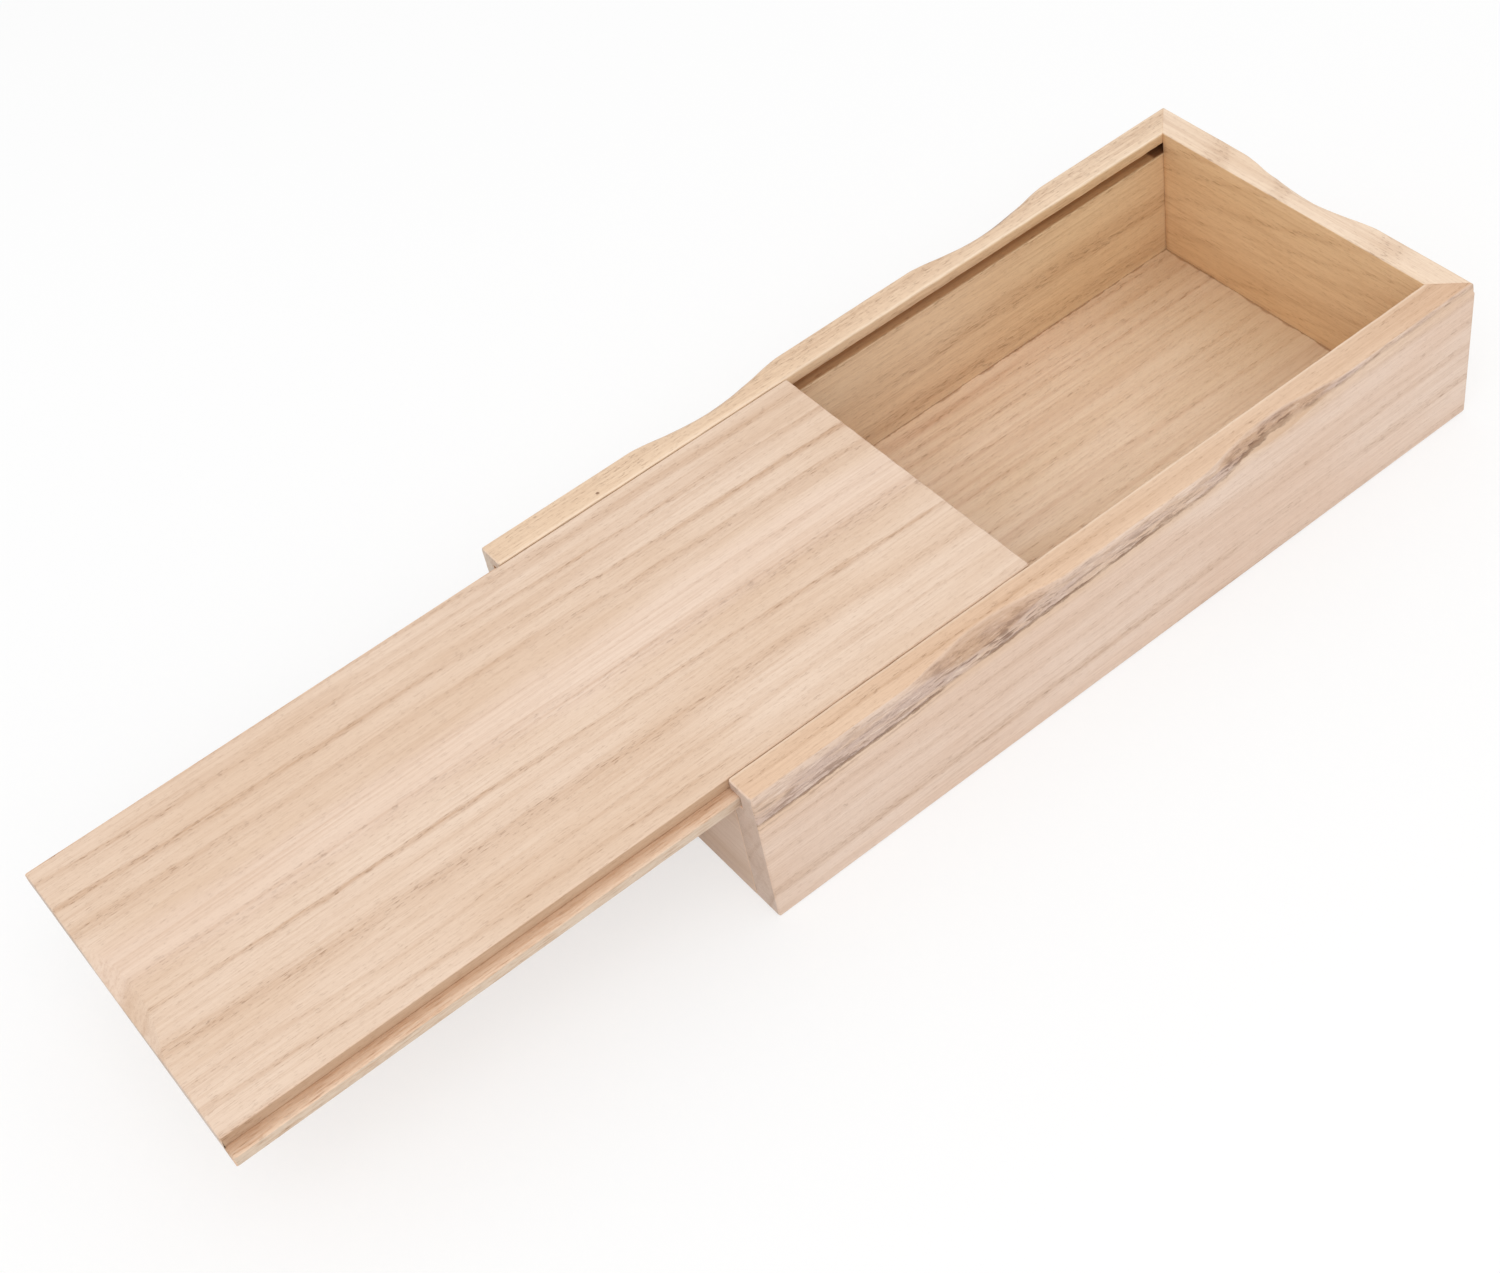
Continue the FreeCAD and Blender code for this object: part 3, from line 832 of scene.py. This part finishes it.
def bottom_board_marks(graph, colour, height):
    """Uneven dark line of glue and dust where the floor meets the walls, and a calmer,
    slightly darker floor towards both ends. The darkening at the far end is painted shade."""
    from_side = abs(graph.y) * -1.0 + INNER / MM
    from_far_end = graph.x * -1.0 + FAR_INNER / MM
    nearest = graph.math("MINIMUM", from_side, from_far_end)
    uneven = graph.noise(graph.place, (0.12, 0.12, 0.12), 4.0, 0.65)
    stain_width = uneven.ramp(0.35, 0.7, 0.1, 1.3)
    stain = (nearest / stain_width).ramp(1.0, 0.3)
    patches = graph.noise(graph.place, (0.01, 0.03, 0.03)).ramp(0.3, 0.6)
    calm = graph.x.ramp(-10.0, 95.0) * patches
    colour = graph.mix(calm * 0.4, colour, linear(226, 194, 156))
    # Painted shade on the floor towards the far end wall.
    colour = tinted(graph, colour, graph.x.ramp(45.0, 98.0), linear(238, 236, 229))
    colour = tinted(graph, colour, graph.x.ramp(-20.0, -95.0), linear(227, 225, 224))
    return graph.mix(stain * 0.65, colour, linear(150, 102, 62)), height


def lid_marks(graph, colour, height):
    """Smooth pinkish strip along the middle, and the marks of the rebates."""
    strip_edge = graph.noise(graph.place, (0.012, 0.05, 0.05), 3.0) - 0.5
    strip = abs(graph.y + graph.x * 0.03 + strip_edge * 14.0).ramp(9.0, 4.0)
    fine_lines = graph.noise(graph.place, (0.008, 1.2, 1.2), 3.0, 0.6)
    pinkish = graph.mix(fine_lines.ramp(0.45, 0.65) * 0.5, linear(243, 220, 203),
                        linear(206, 168, 142))
    colour = graph.mix(strip * 0.4, colour, pinkish)
    return add_rebate_marks(graph, colour, height)


def add_rebate_marks(graph, colour, height):
    """Warm torn grain on the tongues, brown painted shade in the rebates and on the tongues
    beside them, and greyer outer sides.
    """
    step = LID_TOP_EDGE / MM
    tongue_top = TONGUE_TOP / MM
    rim = RIM / MM
    from_middle = abs(graph.y)
    on_tongue = from_middle.ramp(step - 0.3, step - 0.1)
    on_tongue = on_tongue * graph.z.ramp(tongue_top + 0.4, tongue_top + 0.1)
    strokes = graph.noise(graph.place, (0.12, 1.6, 1.6), 4.0, 0.7)
    torn_grain = graph.mix(strokes.ramp(0.45, 0.62), linear(238, 206, 178), linear(220, 178, 144))
    torn_grain = graph.mix(strokes.ramp(0.6, 0.68) * 0.8, torn_grain, linear(160, 112, 80))
    colour = graph.mix(on_tongue * 0.7, colour, torn_grain)

    # Painted shade on the upright face of each rebate.
    sideways = abs(graph.facing[1]).ramp(0.7, 0.95)
    above_tongue = graph.z.ramp(tongue_top - 0.2, tongue_top + 0.2)
    below_rim = graph.z.ramp(rim - 0.1, rim - 0.6)
    colour = tinted(graph, colour, sideways * above_tongue * below_rim, linear(222, 212, 200))
    outer_side = sideways * graph.z.ramp(tongue_top + 0.2, tongue_top - 0.2)
    colour = tinted(graph, colour, outer_side, linear(238, 248, 255))
    # Painted shade on the tongue's top next to the rebate.
    near_step = on_tongue * from_middle.ramp(step + 3.2, step + 0.4)
    colour = tinted(graph, colour, near_step, linear(226, 216, 206))
    return colour, height + on_tongue * (strokes - 0.5) * 2.0


def dress(piece, node, body, material):
    """Give a piece its material and let it stand for its CAD board."""
    piece.data.materials.append(material)
    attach(piece, body)
    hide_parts(node)


def build_boards():
    """Build and dress all six boards. Each wall and the lid is worn by a seed of its own."""
    dress(build_long_wall("front_wall_board", -1, 3.0), "front_wall", "case",
          wood("front_wall_wood", front_wall_marks, FRONT_WALL_LOOK))
    dress(build_long_wall("back_wall_board", 1, 8.0), "back_wall", "case",
          wood("back_wall_wood", back_wall_marks, BACK_WALL_LOOK))
    dress(build_far_end_wall("far_end_wall_board", 14.0), "far_end_wall", "case",
          wood("far_end_wall_wood", far_end_wall_marks, FAR_END_WALL_LOOK))
    dress(build_low_end_wall("low_end_wall_board", 21.0), "low_end_wall", "case",
          wood("low_end_wall_wood", low_end_wall_marks, LOW_END_WALL_LOOK))
    dress(build_bottom_board("bottom_board_board"), "bottom_board", "case",
          wood("bottom_board_wood", bottom_board_marks, BOTTOM_BOARD_LOOK))
    dress(build_lid("lid_board", 30.0), "lid", "lid",
          wood("lid_board_wood", lid_marks, LID_LOOK))


# Studio: a floor a hair below the box, an even surround and one soft lamp, in metres and
# watts.
FLOOR_SIZE = 8.0
FLOOR_GAP = 0.0002
SURROUND_STRENGTH = 0.86
LAMP_PLACE = (-0.4, -0.7, 1.2)
LAMP_AIM = (0.0, 0.0, 0.0)
LAMP_SIZE = 1.2
LAMP_POWER = 6.0


def add_floor():
    """Plain pale floor that the camera sees as nearly white but that keeps the shadow."""
    bpy.ops.mesh.primitive_plane_add(size=FLOOR_SIZE, location=(0.0, 0.0, -FLOOR_GAP))
    floor = bpy.context.object
    floor.name = "floor"
    graph = Graph("floor_paint")
    tone = graph.noise(graph.place, (0.003, 0.003, 0.003)).ramp(0.3, 0.7, 0.93, 0.95)
    paint = graph.add("ShaderNodeBsdfDiffuse",
                      {"Color": graph.add("ShaderNodeCombineColor",
                                          {0: tone, 1: tone, 2: tone})})
    white = graph.add("ShaderNodeEmission", {"Strength": 1.0})
    seen = graph.add("ShaderNodeLightPath", output="Is Camera Ray")
    both = graph.add("ShaderNodeMixShader", {0: seen * 0.6, 1: paint, 2: white})
    floor.data.materials.append(graph.surface(both))


def add_surround(strength):
    """Even surround that looks pure white and lights the scene at a given strength."""
    world = bpy.data.worlds.new("surround")
    bpy.context.scene.world = world
    world.use_nodes = True
    nodes = world.node_tree.nodes
    background = nodes["Background"]
    background.inputs["Color"].default_value = (1.0, 1.0, 1.0, 1.0)
    seen = nodes.new("ShaderNodeLightPath")
    level = nodes.new("ShaderNodeMapRange")
    level.inputs["To Min"].default_value = strength
    level.inputs["To Max"].default_value = 1.0
    world.node_tree.links.new(seen.outputs["Is Camera Ray"], level.inputs["Value"])
    world.node_tree.links.new(level.outputs["Result"], background.inputs["Strength"])


def add_lamp(name, place, aim, size, power):
    """Square soft light that faces a point."""
    data = bpy.data.lights.new(name, "AREA")
    data.size = size
    data.energy = power
    lamp = bpy.data.objects.new(name, data)
    bpy.context.scene.collection.objects.link(lamp)
    lamp.location = place
    lamp.rotation_euler = (Vector(aim) - Vector(place)).to_track_quat("-Z", "Y").to_euler()


# The photograph's viewing angle, found from the corners of the box in it. The camera is
# set so that it takes in the drawn-out lid too.
CAMERA_PLACE = Vector((-0.2412, -0.3186, 0.4202))
CAMERA_AIM = Vector((-0.0697, 0.0009, 0.0200))
CAMERA_ROLL = math.radians(-12.9)
CAMERA_LENS = 58.4


def add_camera():
    """Camera that looks at the box as the photograph does."""
    data = bpy.data.cameras.new("camera")
    data.lens = CAMERA_LENS
    data.clip_start = 0.01
    data.clip_end = 50.0
    camera = bpy.data.objects.new("camera", data)
    bpy.context.scene.collection.objects.link(camera)
    facing = (CAMERA_AIM - CAMERA_PLACE).to_track_quat("-Z", "Y").to_matrix().to_4x4()
    camera.matrix_world = (
        Matrix.Translation(CAMERA_PLACE) @ facing @ Matrix.Rotation(CAMERA_ROLL, 4, "Z"))
    bpy.context.scene.camera = camera


build_boards()
add_floor()
add_surround(SURROUND_STRENGTH)
add_lamp("overhead", LAMP_PLACE, LAMP_AIM, LAMP_SIZE, LAMP_POWER)
add_camera()
bpy.context.scene.view_settings.view_transform = "Standard"
